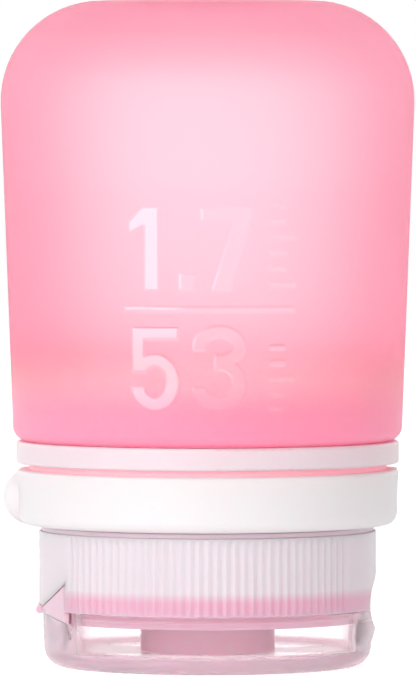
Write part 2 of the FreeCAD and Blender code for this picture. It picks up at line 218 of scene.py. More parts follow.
class LidSizes(bpy.types.PropertyGroup):
    """Sizes of the clear flip lid"""

    height: length("Lid height", 6.02, "Level of the lid's rim")
    radius: length("Lid radius", 17.2, "Outer radius at the rim")
    foot_radius: length("Lid foot radius", 16.95, "Outer radius carried on to the face it stands on")
    wall: length("Lid wall", 1.0, "Thickness of the lid's wall")
    plate: length("Lid plate", 1.35, "Thickness of the lid's plate")
    edge_round: length("Lid edge round", 2.1, "Round between the wall and the plate outside")
    inner_round: length("Lid inner round", 0.9, "Round between the wall and the plate inside")
    rim_round: length("Lid rim round", 0.14, "Round on the lid's rim and rings")
    lip_reach: length("Lip reach", 0.35, "How far the thumb lip stands out")
    lip_low: length("Lip foot", 2.4, "Level where the thumb lip begins")
    lip_level: length("Lip level", 3.7, "Level where the thumb lip is full")
    lip_high: length("Lip top", 5.0, "Level where the thumb lip ends")
    lip_half: length("Lip half width", 7.54, "Half the width of the thumb lip")
    ring_outer: length("Plug ring outside", 7.0, "Outer radius of the ring round the spout")
    ring_inner: length("Plug ring inside", 6.3, "Inner radius of the ring round the spout")
    ring_height: length("Plug ring height", 3.0, "Height of that ring above the plate")
    boss_radius: length("Boss radius", 2.2, "Radius of the boss under the valve")
    boss_height: length("Boss height", 0.7, "Height of the boss above the plate")
    wall_step: length("Lid wall mesh", 0.2, "Mesh height on the outside of the wall")
    mesh_step: length("Lid mesh", 3.0, "Mesh width elsewhere on the lid")
    lip_fade: length("Lip end run", 0.8, "Width over which the thumb lip runs out at each end")
    ring_fade: length("Ring cloud run", 0.2, "Width over which the plug ring's cloud ends")
    edge_fade: length("Edge cloud run", 0.6, "Height over which the rounded edge's cloud ends")
    edge_width: length("Edge cloud width", 2.4, "How far in from the foot radius the edge is clouded")
    ring_cloud: share("Ring cloud", 0.85, "How clouded the plug ring and the boss are")
    edge_cloud: share("Edge cloud", 0.42, "How clouded the rounded edge is")
    side_cloud: share("Side cloud", 0.45, "How clouded the hinge side and the lip side are")
    # These tints are painted pink light that shows through the lid from the cap and the silicone
    ring_tint: share("Ring tint", 0.9, "How pink the plug ring and the boss are")
    edge_tint: share("Edge tint", 0.6, "How pink the rounded edge is")
    side_tint: share("Side tint", 0.5, "How pink the hinge side and the lip side are")
    hinge_from: share("Hinge side from", 0.72, "Sine of the turn where the hinge side's cloud begins")
    lip_from: share("Lip side from", 0.86, "Sine of the turn where the lip side's cloud begins")
    hinge_over: share("Hinge side run", 0.2, "Sine over which the hinge side's cloud comes to the full")
    lip_over: share("Lip side run", 0.12, "Sine over which the lip side's cloud comes to the full")


class SealSizes(bpy.types.PropertyGroup):
    """Sizes of the gasket and the slit valve"""

    touch: length("Seal gap", 0.03, "Gap left between the seals and the plastic they lie on")
    round_off: length("Seal round", 0.12, "Round on the gasket's edges")
    outer: length("Gasket outside", 14.8, "Outer radius of the gasket")
    inner: length("Gasket inside", 12.6, "Inner radius of the gasket")
    valve_flange: length("Valve flange", 4.5, "Radius of the valve's flange")
    valve_neck: length("Valve neck", 3.1, "Radius of the valve's short wall")
    valve_wall: length("Valve wall", 0.55, "Thickness of the valve's wall and membrane")
    valve_drop: length("Valve dish", 0.45, "How far the membrane's middle is dished in")
    valve_rim: length("Valve flange thickness", 0.7, "Thickness of the valve's flange")
    valve_round: length("Valve round", 0.1, "Round on the valve's edges")
    valve_edge: length("Valve end round", 0.15, "Round on the end of the valve's wall")
    gasket_milk: share("Gasket pink", 0.8, "How much of the deeper pink the gasket has")
    slit: length("Slit length", 3.47, "Length of each of the two crossed slits")
    slit_width: length("Slit width", 0.06, "Width of the slits")


class Finishes(bpy.types.PropertyGroup):
    """Colours of the materials and the levels where they change"""

    silicone: colour("Silicone", (1.0, 0.93, 0.905), "Surface tint of the pink silicone where it is thin")
    # Deeper pink: the silicone's own where it is thick, and painted shade on the outer wall down to the foot
    silicone_thick_and_shaded: colour("Thick silicone", (1.0, 0.34, 0.48), "The silicone where it is thick and milky")
    # Painted glow: colour of an emission on the milky silicone, which makes the foot shine though it is no
    # lamp
    silicone_painted_glow: colour("Silicone glow", (1.0, 0.08, 0.22), "Light that the wall leads down to its foot")
    silicone_depth: colour("Silicone depth", (1.0, 0.0, 0.45), "What a long way through the silicone leaves")
    silicone_strength: share("Silicone strength", 112.0, "How fast it takes light away, per metre", 1000)
    # Strength of that painted glow
    painted_glow_strength: share("Silicone light", 0.2, "Strength of the glow where the silicone is milky")
    white: colour("White plastic", (0.90, 0.855, 0.87), "Loop and upper collar")
    # Painted light: pink that the silicone's light gives the lower collar, in the shaded recess under the
    # loop and behind the cap
    sleeve: colour("Sleeve", (1.0, 0.74, 0.83), "Lower collar, which shows through the cap")
    # Its pink is painted light: pink light from the silicone that scatters in the clamp ring
    milky: colour("Milky plastic", (0.97, 0.80, 0.85), "Clamp ring")
    frosted: colour("Frosted plastic", (1.0, 0.80, 0.86), "Cap round the sleeve")
    hinge: colour("Hinge", (1.0, 0.68, 0.78), "Folding hinge between the cap and the lid")
    # Painted light: the pink that the silicone mouth and gasket inside send through the cap
    blush: colour("Blush", (1.0, 0.52, 0.66), "Cap near the pink mouth of the bottle")
    clear: colour("Clear plastic", (1.0, 0.99, 0.995), "Flip lid where it is clear")
    # Painted light: pink that the cap and the silicone send through the clear lid, given where it is clouded
    clouded: colour("Clouded plastic", (1.0, 0.55, 0.69), "Flip lid where it is thick and clouded")
    clear_depth: colour("Clear depth", (0.75, 0.0, 0.3), "Colour that a long way through the lid leaves")
    clear_strength: share("Clear strength", 6.0, "How fast the lid takes light away, per metre", 1000)
    sleeve_level: length("Sleeve top", 14.62, "Level where the sleeve's pink begins to end")
    sleeve_end: length("Sleeve end", 14.74, "Level where the sleeve's pink has ended")
    blush_level: length("Blush top", 7.5, "Level where the cap's blush begins to end")
    blush_end: length("Blush end", 8.5, "Level where the cap's blush has ended")
    blush_side: length("Blush side", 14.9, "How far to the hinge side the blush is full")
    blush_side_end: length("Blush side end", 15.4, "How far to the hinge side the blush reaches")


class StageSizes(bpy.types.PropertyGroup):
    """Camera, lamps and floor"""

    camera_distance: length("Camera distance", 860.0, "From the bottle's axis to the camera")
    camera_height: length("Camera height", 62.0, "Height of the camera above the floor")
    camera_side: length("Camera side", 0.04, "Sideways place of the camera and its aim")
    aim_height: length("Aim height", 34.0, "Height of the point in the middle of the picture")
    view_height: length("View height", 70.6, "Height of the picture at the bottle's axis")
    lamp_distance: length("Lamp distance", 1000.0, "From the bottle to each softbox")
    lamp_size: length("Softbox size", 800.0, "Side of the key and front softboxes")
    key_angle: angle("Key angle", -38.0, "Turn of the key softbox from the camera, to the left")
    key_rise: angle("Key rise", 10.0, "Height of the key softbox above the horizon")
    key_power: share("Key power", 6.2, "Power of the key softbox in watts", 1000)
    front_angle: angle("Front angle", 15.0, "Turn of the front softbox from the camera, to the right")
    front_rise: angle("Front rise", 10.0, "Height of the front softbox above the horizon")
    front_power: share("Front power", 3.6, "Power of the front softbox in watts", 1000)
    back_angle: angle("Back angle", 180.0, "Turn of the wide softbox behind the bottle from the camera")
    back_rise: angle("Back rise", 10.0, "Height of the wide softbox behind the bottle")
    back_size: length("Back size", 1800.0, "Side of the wide softbox behind the bottle")
    back_power: share("Back power", 2.9, "Power of the wide softbox behind the bottle in watts", 1000)
    rim_angle: angle("Rim angle", 125.0, "Turn of the two side softboxes from the camera")
    rim_size: length("Rim size", 1200.0, "Side of each of these two softboxes")
    rim_power: share("Left rim power", 1.8, "Power of the left one in watts", 1000)
    right_power: share("Right rim power", 0.9, "Power of the right one in watts", 1000)
    fill: share("Fill light", 0.38, "Strength of the white room on matt surfaces")
    floor_half: length("Floor half width", 2500.0, "Half the side of the floor")
    floor_white: share("Floor white", 0.7, "How much light the floor gives back")
    floor_mottle: share("Floor mottle", 0.0143, "How much darker the floor is here and there")
    floor_light: share("Floor light", 0.28, "Light of the floor's own on matt surfaces")
    floor_seen: share("Floor seen", 0.72, "Light of the floor's own where it is seen")
    floor_through: share("Floor through", 0.96, "Light of the floor's own through clear pieces")


# Lines, grids and meshes


def smooth_step(value):
    """Nothing below 0, all above 1, and an even slope at both ends between."""
    value = np.clip(value, 0, 1)
    return value * value * (3 - 2 * value)


def rounded_line(corners, steps):
    """Line through (radius, level, round) corners.

    A corner with a round becomes an arc of so many points that touches both its runs: the arc's centre lies
    on the bisector at round / sin(half the corner's angle), and it sweeps a straight angle less the corner's.
    """
    table = np.array(corners, float)
    point, bend = table[:, :2], table[:, 2]
    back = np.roll(point, 1, 0) - point
    ahead = np.roll(point, -1, 0) - point
    back /= np.linalg.norm(back, axis=1)[:, None]
    ahead /= np.linalg.norm(ahead, axis=1)[:, None]
    half = np.arccos(np.clip((back * ahead).sum(1), -1, 1)) / 2
    inward = back + ahead
    inward /= np.maximum(np.linalg.norm(inward, axis=1), TINY)[:, None]
    centre = point + inward * (bend / np.maximum(np.sin(half), TINY))[:, None]
    hand = -np.sign(back[:, 0] * ahead[:, 1] - back[:, 1] * ahead[:, 0])
    turn = (math.pi / 2 - half)[:, None] * np.linspace(-1, 1, steps)[None, :] * hand[:, None]
    out_x, out_z = -inward[:, :1], -inward[:, 1:]
    cos, sin = np.cos(turn), np.sin(turn)
    spoke = np.stack([out_x * cos - out_z * sin, out_x * sin + out_z * cos], -1)
    arc = centre[:, None, :] + bend[:, None, None] * spoke
    line = np.where((bend > 0)[:, None, None], arc, point[:, None, :]).reshape(-1, 2)
    step = np.linalg.norm(np.diff(line, axis=0), axis=1)
    return line[np.concatenate([[True], step > SLIVER])]


def spaced(line, step):
    """The same line with each run cut into equal shares no longer than the step given for that run."""
    run = np.diff(line, axis=0)
    slack = 1e-6
    count = np.maximum(1, np.ceil(np.linalg.norm(run, axis=1) / step - slack)).astype(int)
    which = np.repeat(np.arange(len(count)), count)
    place = np.arange(count.sum()) - np.repeat(np.cumsum(count) - count, count)
    points = line[which] + (place / count[which])[:, None] * run[which]
    return np.concatenate([points, line[-1:]])


def round_turns(count):
    """Turns at equal steps once round the axis."""
    return np.linspace(0, FULL_TURN, count, endpoint=False)


def turned(line, angles):
    """Surface of revolution: each (radius, level) of the line at each turn about Z, counted from -Y to +X."""
    radius = line[:, :1]
    level = np.broadcast_to(line[:, 1:], (len(line), len(angles)))
    return np.stack([radius * np.sin(angles), -radius * np.cos(angles), level], -1)


def grid_quads(rows, columns, wrap_rows=False):
    """Four-cornered faces between neighbours of a grid whose columns, or rows too, close to a ring."""
    row = np.arange(rows if wrap_rows else rows - 1)[:, None]
    column = np.arange(columns)[None, :]
    below, beside = (row + 1) % rows, (column + 1) % columns
    row, below = row * columns, below * columns
    corners = [row + column, row + beside, below + beside, below + column]
    return np.stack([np.broadcast_to(c, (row.size, column.size)) for c in corners], -1).reshape(-1, 4)


def shell_mesh(name, points, quads, attributes=None):
    """Closed mesh from points and four-cornered faces: doubles merged, faces outwards, creases kept sharp."""
    points = points.reshape(-1, 3)
    mesh = bpy.data.meshes.new(name)
    mesh.vertices.add(len(points))
    mesh.vertices.foreach_set("co", points.astype(np.float32).ravel())
    mesh.loops.add(quads.size)
    mesh.loops.foreach_set("vertex_index", quads.astype(np.int32).ravel())
    mesh.polygons.add(len(quads))
    mesh.polygons.foreach_set("loop_start", np.arange(0, quads.size, 4, dtype=np.int32))
    for key, values in (attributes or {}).items():
        layer = mesh.attributes.new(key, "FLOAT", "POINT")
        layer.data.foreach_set("value", values.astype(np.float32).ravel())
    mesh.update(calc_edges=True)
    work = bmesh.new()
    work.from_mesh(mesh)
    bmesh.ops.remove_doubles(work, verts=work.verts, dist=MERGE)
    bmesh.ops.dissolve_degenerate(work, edges=work.edges, dist=SLIVER)
    bmesh.ops.recalc_face_normals(work, faces=work.faces)
    work.to_mesh(mesh)
    work.free()
    mesh.shade_smooth()
    mesh.set_sharp_from_angle(angle=CREASE)
    return mesh


def turned_mesh(name, points, attributes=None, ring=False):
    """Closed mesh of a line turned about the axis; a ring's line ends where it began, others on the axis."""
    return shell_mesh(name, points, grid_quads(*points.shape[:2], ring), attributes)


def bar_mesh(name, points):
    """Closed mesh from a bar's sections, each a ring of corners; each end is a fan from the first corner."""
    sections, corners = points.shape[:2]
    step = np.arange(1, corners - 2, 2)
    fan = np.stack([np.zeros_like(step), step, step + 1, np.minimum(step + 2, corners - 1)], -1)
    ends = [fan[:, ::-1], fan + (sections - 1) * corners]
    return shell_mesh(name, points, np.concatenate([grid_quads(sections, corners), *ends]))


def cut_away(mesh, cutters):
    """The mesh with the room of each cutter mesh taken out of it, creases sharp again."""
    holder = bpy.data.objects.new(mesh.name, mesh)
    bpy.context.scene.collection.objects.link(holder)
    tools = [bpy.data.objects.new(cutter.name, cutter) for cutter in cutters]
    for tool in tools:
        bpy.context.scene.collection.objects.link(tool)
        knife = holder.modifiers.new(tool.name, "BOOLEAN")
        knife.operation = "DIFFERENCE"
        knife.solver = "EXACT"
        knife.object = tool
    evaluated = holder.evaluated_get(bpy.context.evaluated_depsgraph_get())
    result = bpy.data.meshes.new_from_object(evaluated)
    for thing in [holder, *tools]:
        bpy.data.objects.remove(thing)
    for used in [mesh, *cutters]:
        bpy.data.meshes.remove(used)
    result.shade_smooth()
    result.set_sharp_from_angle(angle=CREASE)
    return result


def add_piece(name, mesh, body, finish, nodes):
    """Object at the origin that rides on a body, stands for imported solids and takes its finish."""
    if not mesh.polygons:
        raise RuntimeError(name + " has no faces")
    piece = bpy.data.objects.new(name, mesh)
    bpy.context.scene.collection.objects.link(piece)
    mesh.materials.append(finish)
    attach(piece, body)
    if nodes:
        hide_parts(*nodes)


def dress_node(node, finish):
    """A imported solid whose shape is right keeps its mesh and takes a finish."""
    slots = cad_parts[node].material_slots
    if not slots:
        raise RuntimeError(node + " has no material slot")
    for place in slots:
        place.material = finish


# Shapes that the cap and the lid share


def scoop_limit(points, cap):
    """Largest radius that the thumb scoop leaves.

    The scoop is a cylinder along Y, so at each level its near side is at
    x = middle - sqrt(radius^2 - (level - middle level)^2),
    and the radius there is x over the sine of the turn.
    """
    middle = cap.radius - cap.scoop_depth + cap.scoop_radius
    inside = cap.scoop_radius ** 2 - (points[..., 2] - cap.scoop_level) ** 2
    near = middle - np.sqrt(np.maximum(inside, 0))
    sine = points[..., 0] / np.maximum(np.hypot(points[..., 0], points[..., 1]), TINY)
    least, unbound = 0.3, 1.0
    return np.where((inside > 0) & (sine > least), near / np.maximum(sine, least), unbound)


def scaled_radius(points, radius):
    """The points moved straight out from or in to the axis, to the radius given for each."""
    now = np.maximum(np.hypot(points[..., 0], points[..., 1]), TINY)
    return points * np.stack([radius / now, radius / now, np.ones_like(now)], -1)


def window_cutter(hinge):
    """Room for the folding hinge: at each Y a triangle from a point just outside the hinge axis, whose upper
    and lower sides slope inwards to the window's inner radius."""
    side = np.linspace(-hinge.half_width, hinge.half_width, 41)
    tip = -hinge.reach - hinge.apex_gap
    inner = -np.sqrt(hinge.inner_radius ** 2 - side ** 2)
    high = hinge.level + (inner - tip) * math.tan(hinge.rise)
    low = hinge.level - (inner - tip) * math.tan(hinge.fall)
    apex = np.stack([np.full_like(side, tip), side, np.full_like(side, hinge.level)], -1)
    back = [np.stack([inner, side, level], -1) for level in (low, (low + high) / 2, high)]
    return bar_mesh("window_cutter", np.stack([apex, *back], 1))


def groove_cutter(hinge):
    """Round rod on the hinge axis: a circle carried along Y."""
    turn = round_turns(24)
    side = np.array([-hinge.groove_half, hinge.groove_half])[:, None]
    x = -hinge.reach + hinge.groove_radius * np.cos(turn)[None, :] + 0 * side
    z = hinge.level + hinge.groove_radius * np.sin(turn)[None, :] + 0 * side
    return bar_mesh("groove_cutter", np.stack([x, side + 0 * x, z], -1))


def slot_cutter(hinge, lid, side):
    """Notch beside the hinge: a right triangle, upright on its inner side, carried along Y."""
    rim = lid.height + hinge.slot_over
    outer = -hinge.slot_reach
    inner = outer + hinge.slot_width
    along = side * hinge.slot_side + np.array([-hinge.slot_half, hinge.slot_half])[:, None]
    x = np.array([outer, (outer + inner) / 2, inner, inner])[None, :] + 0 * along
    z = np.array([rim, rim, rim, rim - hinge.slot_depth])[None, :] + 0 * along
    return bar_mesh("slot_cutter", np.stack([x, along + 0 * x, z], -1))


# Distances for the capacity numbers


def plate(x, z, corners):
    """Distance outside a flat plate with straight sides: the largest distance past any side."""
    ring = np.array(corners, float)
    side = np.roll(ring, -1, 0) - ring
    normal = np.stack([side[:, 1], -side[:, 0]], -1) / np.linalg.norm(side, axis=1)[:, None]
    area = (ring[:, 0] * np.roll(ring[:, 1], -1) - ring[:, 1] * np.roll(ring[:, 0], -1)).sum()
    normal *= math.copysign(1, area)
    offset = (normal * ring).sum(1)
    return (x[..., None] * normal[:, 0] + z[..., None] * normal[:, 1] - offset).max(-1)


def bar(x, z, left, right, low, high):
    """Distance outside an upright rectangle."""
    return np.maximum(np.maximum(left - x, x - right), np.maximum(low - z, z - high))


def oval(x, z, centre, half):
    """Distance outside an oval, scaled by its smaller half width."""
    return (np.hypot((x - centre[0]) / half[0], (z - centre[1]) / half[1]) - 1) * min(half)


def bowl(x, z, centre, outer, inner, gap):
    """Distance outside an oval ring that has a rectangular gap (left, right, low, high)."""
    ring = np.maximum(oval(x, z, centre, outer), -oval(x, z, centre, inner))
    return np.maximum(ring, -bar(x, z, *gap))


def number_distance(x, z):
    """Distance in millimetres outside the plain capacity numbers, their divider and their scale ticks."""
    top, foot, lower_top = 48.01, 39.57, 35.81
    gap_low, gap_high = 29.71, 33.47
    forms = [
        # One
        bar(x, z, -6.43, -4.94, foot, top),
        plate(x, z, [(-8.10, 46.48), (-6.57, top), (-4.94, top), (-6.26, 46.28), (-8.05, 45.26)]),
        # Point
        bar(x, z, -2.91, -1.28, foot, 41.30),
        # Seven
        bar(x, z, -0.67, 4.52, 46.66, top),
        plate(x, z, [(2.94, 47.3), (4.52, 47.3), (2.28, foot), (0.45, foot)]),
        # Divider
        bar(x, z, -8.50, 8.79, 37.40, 37.94),
        # Five
        bar(x, z, -7.69, -2.91, 34.59, lower_top),
        bar(x, z, -7.69, -6.47, 31.24, lower_top),
        bowl(x, z, (-5.33, 30.17), (2.56, 2.90), (1.12, 1.63), (-9.0, -5.9, gap_low, 31.24)),
        # Three
        bowl(x, z, (1.18, 33.94), (2.66, 2.07), (1.36, 0.90), (-3.0, 0.75, gap_low, gap_high)),
        bowl(x, z, (1.18, 30.06), (2.75, 2.70), (1.42, 1.42), (-3.0, 0.75, gap_low, gap_high)),
        scale_ticks(x, z),
    ]
    return np.min(forms, axis=0)


def scale_ticks(x, z):
    """Distance in millimetres outside two ladders of ticks, where every third tick is longer."""
    start, pitch, middle, half = 39.8, 1.6, 0.4, 0.26
    inner, short, long, every = 6.3, 7.9, 8.9, 3
    reach = np.where(np.abs((z - start) % (every * pitch) - middle) < pitch / 2, long, short)
    ticks = np.maximum(np.abs((z - start) % pitch - middle) - half, np.maximum(inner - x, x - reach))
    rows = np.minimum(bar(x, z, 0, 20, 39.6, 48.2), bar(x, z, 0, 20, 27.3, 34.0))
    return np.maximum(ticks, rows)


# Finishes


def new_finish(name):
    """A fresh node material; gives the material, its tree and its surface shader."""
    material = bpy.data.materials.new(name)
    material.use_nodes = True
    tree = material.node_tree
    return material, tree, tree.nodes["Principled BSDF"]


def grain(tree, lumps, detail):
    """Noise on object coordinates, with so many lumps per metre."""
    place = tree.nodes.new("ShaderNodeTexCoord")
    noise = tree.nodes.new("ShaderNodeTexNoise")
    noise.inputs["Scale"].default_value = lumps
    noise.inputs["Detail"].default_value = detail
    tree.links.new(place.outputs["Object"], noise.inputs["Vector"])
    return noise.outputs["Fac"]


def between(tree, value, low, high, start=0.3, end=0.7):
    """A noise or attribute value carried over to the range from low to high."""
    node = tree.nodes.new("ShaderNodeMapRange")
    node.inputs["From Min"].default_value = start
    node.inputs["From Max"].default_value = end
    node.inputs["To Min"].default_value = low
    node.inputs["To Max"].default_value = high
    tree.links.new(value, node.inputs["Value"])
    return node.outputs["Result"]


def tinted(tree, value, first, last, start=0.3, end=0.7):
    """Colour that runs from the first to the last as a noise value grows."""
    ramp = tree.nodes.new("ShaderNodeValToRGB")
    ramp.color_ramp.elements[0].position = start
    ramp.color_ramp.elements[1].position = end
    ramp.color_ramp.elements[0].color = (*first, 1)
    ramp.color_ramp.elements[1].color = (*last, 1)
    tree.links.new(value, ramp.inputs["Fac"])
    return ramp.outputs["Color"]


def roughened(tree, shader, value, depth, strength):
    """Fine relief of the given depth in metres on the shader's normal."""
    bump = tree.nodes.new("ShaderNodeBump")
    bump.inputs["Strength"].default_value = strength
    bump.inputs["Distance"].default_value = depth
    tree.links.new(value, bump.inputs["Height"])
    tree.links.new(bump.outputs["Normal"], shader.inputs["Normal"])


def filled(tree, depth_colour, strength):
    """Clear bulk of a piece, which takes more of the light the longer its way through."""
    bulk = tree.nodes.new("ShaderNodeVolumeAbsorption")
    bulk.inputs["Color"].default_value = (*depth_colour, 1)
    bulk.inputs["Density"].default_value = strength
    tree.links.new(bulk.outputs["Volume"], tree.nodes["Material Output"].inputs["Volume"])


def attribute(tree, name):
    """Value that a piece's mesh carries at each of its points."""
    node = tree.nodes.new("ShaderNodeAttribute")
    node.attribute_name = name
    return node.outputs["Fac"]


def mottled(tree, shader, rgb, lumps, detail, by=0.02):
    """Colour that is darker here and there by a small share."""
    dark = [channel * (1 - by) for channel in rgb]
    tree.links.new(tinted(tree, grain(tree, lumps, detail), dark, rgb), shader.inputs["Base Color"])


def above(tree, low, high, axis="Z"):
    """Nothing up to one place along an axis of the bottle, one past the other, a straight rise between."""
    place = tree.nodes.new("ShaderNodeTexCoord")
    split = tree.nodes.new("ShaderNodeSeparateXYZ")
    tree.links.new(place.outputs["Object"], split.inputs["Vector"])
    return between(tree, split.outputs[axis], 0, 1, low, high)


def larger(tree, first, second):
    """The larger of two values."""
    node = tree.nodes.new("ShaderNodeMath")
    node.operation = "MAXIMUM"
    tree.links.new(first, node.inputs[0])
    tree.links.new(second, node.inputs[1])
    return node.outputs[0]


def upright(tree, by):
    """Surface normal tipped up by a small share, as on faces that stand straighter than the wall."""
    surface = tree.nodes.new("ShaderNodeNewGeometry")
    add = tree.nodes.new("ShaderNodeVectorMath")
    add.inputs[1].default_value = (0, 0, by)
    unit = tree.nodes.new("ShaderNodeVectorMath")
    unit.operation = "NORMALIZE"
    tree.links.new(surface.outputs["Normal"], add.inputs[0])
    tree.links.new(add.outputs["Vector"], unit.inputs[0])
    return unit.outputs["Vector"]


def glowing(shader, radius, scale):
    """Light that goes into the plastic or silicone and comes out again a little way off."""
    shader.inputs["Subsurface Weight"].default_value = 1.0
    shader.inputs["Subsurface Radius"].default_value = radius
    shader.inputs["Subsurface Scale"].default_value = scale


def moulded(name, rough, lumps, clear, scale):
    """Satin moulded plastic, still without a colour: its material, tree and shader."""
    material, tree, shader = new_finish(name)
    tree.links.new(between(tree, grain(tree, lumps, detail=3), *rough), shader.inputs["Roughness"])
    shader.inputs["IOR"].default_value = PLASTIC_IOR
    shader.inputs["Transmission Weight"].default_value = clear
    glowing(shader, radius=(1.0, 0.8, 0.85), scale=scale)
    return material, tree, shader


def silicone_finish(colours):
    """Frosted pink silicone: clear where thin, milky where thick with a weak painted glow there (an emission
    that makes it shine though it is no lamp), numbers polished.
    """
    material, tree, shader = new_finish("pink_silicone_frosted")
    # Deeper pink: painted shade low on the outer wall, the silicone's own colour where it is thick
    pink = tinted(tree, attribute(tree, "milk_and_shade"), colours.silicone, colours.silicone_thick_and_shaded, 0, 1)
    tree.links.new(pink, shader.inputs["Base Color"])
    polish = attribute(tree, "polish")
    tree.links.new(between(tree, polish, 0.52, 0.3, 0, 1), shader.inputs["Roughness"])
    veil_and_painted_glow = attribute(tree, "veil_and_painted_glow")
    tree.links.new(between(tree, veil_and_painted_glow, 1.0, 0.0, 0, 1), shader.inputs["Transmission Weight"])
    # Painted glow: emission wherever the silicone is milky
    light = between(tree, veil_and_painted_glow, 0.0, colours.painted_glow_strength, 0, 1)
    tree.links.new(light, shader.inputs["Emission Strength"])
    shader.inputs["Emission Color"].default_value = (*colours.silicone_painted_glow, 1)
    shader.inputs["IOR"].default_value = SILICONE_IOR
    tree.links.new(polish, shader.inputs["Coat Weight"])
    shader.inputs["Coat Roughness"].default_value = 0.06
    shader.inputs["Coat IOR"].default_value = 1.6
    tree.links.new(upright(tree, by=0.07), shader.inputs["Coat Normal"])
    glowing(shader, radius=(1.0, 0.6, 0.7), scale=0.0002)
    roughened(tree, shader, grain(tree, lumps=2600, detail=2), depth=0.00001, strength=0.25)
    filled(tree, colours.silicone_depth, colours.silicone_strength)
    return material


def white_finish(colours):
    """Satin white plastic with a faint mould grain, less soft on the sleeve inside the cap, where its pink is
    painted light: the silicone's pink light in the recess under the loop and behind the cap.
    """
    material, tree, shader = moulded(
        "white_plastic_satin", rough=(0.34, 0.46), lumps=700, clear=0.0, scale=0.002
    )
    upper = above(tree, colours.sleeve_level, colours.sleeve_end)
    # Painted pink light on the collar below the sleeve level
    tree.links.new(tinted(tree, upper, colours.sleeve, colours.white, 0, 1), shader.inputs["Base Color"])
    tree.links.new(between(tree, upper, 0.0002, 0.002, 0, 1), shader.inputs["Subsurface Scale"])
    roughened(tree, shader, grain(tree, lumps=3500, detail=2), depth=0.000008, strength=0.3)
    return material


def milky_finish(colours):
    """Milky half clear plastic of the clamp ring, whose pink is painted light: pink light from the silicone
    that scatters in the ring.
    """
    material, tree, shader = moulded(
        "milky_plastic_satin", rough=(0.28, 0.4), lumps=600, clear=0.1, scale=0.0015
    )
    # Painted pink light in the ring's colour, darker here and there at random
    mottled(tree, shader, colours.milky, lumps=110, detail=3)
    roughened(tree, shader, grain(tree, lumps=3000, detail=2), depth=0.000008, strength=0.3)
    return material


def frosted_finish(colours):
    """Frosted half clear plastic of the cap, with painted pink light near the bottle's mouth: the pink of the
    silicone mouth and gasket inside, shining through.
    """
    material, tree, shader = moulded(
        "frosted_plastic_satin", rough=(0.28, 0.36), lumps=500, clear=0.12, scale=0.0015
    )
    # Painted pink light below the blush level, kept off the hinge side
    over = above(tree, colours.blush_level, colours.blush_end)
    beside = above(tree, -colours.blush_side, -colours.blush_side_end, "X")
    pale = larger(tree, over, beside)
    tree.links.new(tinted(tree, pale, colours.blush, colours.frosted, 0, 1), shader.inputs["Base Color"])
    return material


def hinge_finish(colours):
    """Frosted half clear plastic of the folding hinge, thin enough to look evenly pink."""
    material, tree, shader = moulded(
        "hinge_plastic_satin", rough=(0.28, 0.36), lumps=500, clear=0.12, scale=0.0003
    )
    mottled(tree, shader, colours.hinge, lumps=300, detail=2)
    return material


def clear_finish(colours):
    """Glossy clear plastic of the flip lid, clouded where one attribute says and with painted pink light
    where the other says.
    """
    material, tree, shader = new_finish("clear_plastic_gloss")
    # Painted pink light on the clear lid where the tint attribute says
    tint = tinted(tree, attribute(tree, "tint"), colours.clear, colours.clouded, 0, 1)
    tree.links.new(tint, shader.inputs["Base Color"])
    cloud = attribute(tree, "cloud")
    tree.links.new(between(tree, cloud, 0.06, 0.4, 0, 1), shader.inputs["Roughness"])
    tree.links.new(between(tree, cloud, 0.99, 0.1, 0, 1), shader.inputs["Transmission Weight"])
    shader.inputs["IOR"].default_value = PLASTIC_IOR
    glowing(shader, radius=(1.0, 0.6, 0.7), scale=0.0002)
    filled(tree, colours.clear_depth, colours.clear_strength)
    return material


# Operators


